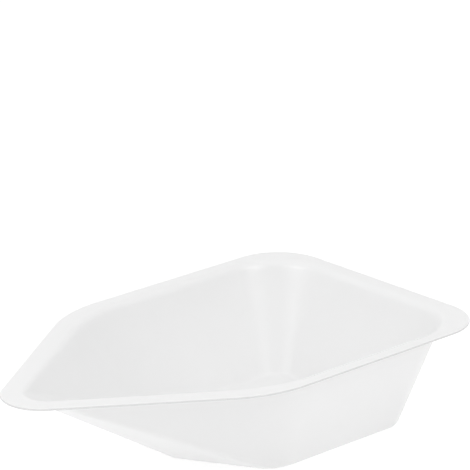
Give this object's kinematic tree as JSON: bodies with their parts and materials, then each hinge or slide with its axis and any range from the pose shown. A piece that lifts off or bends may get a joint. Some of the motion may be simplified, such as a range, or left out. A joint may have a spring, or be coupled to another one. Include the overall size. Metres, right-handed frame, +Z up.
{
  "type": "weighing boat",
  "caption": "Thin-walled pouring weighing boat: kite-shaped dish with a square back, long pouring nose, sloping walls, small flat floor and a flat rim flange.",
  "frame": {"origin": "on the plane of the floor's underside, midway between the tip of the nose and the back edge and midway across the width", "axes": "+X towards the square back end (the nose points to -X), +Y across the boat, +Z up out of its mouth"},
  "size_m": [0.085, 0.0526, 0.0195],
  "materials": {
    "sheet": "milky white polystyrene sheet, soft semi-gloss, slightly translucent"
  },
  "bodies": {
    "root": {"boat": "sheet"}
  },
  "joints": []
}
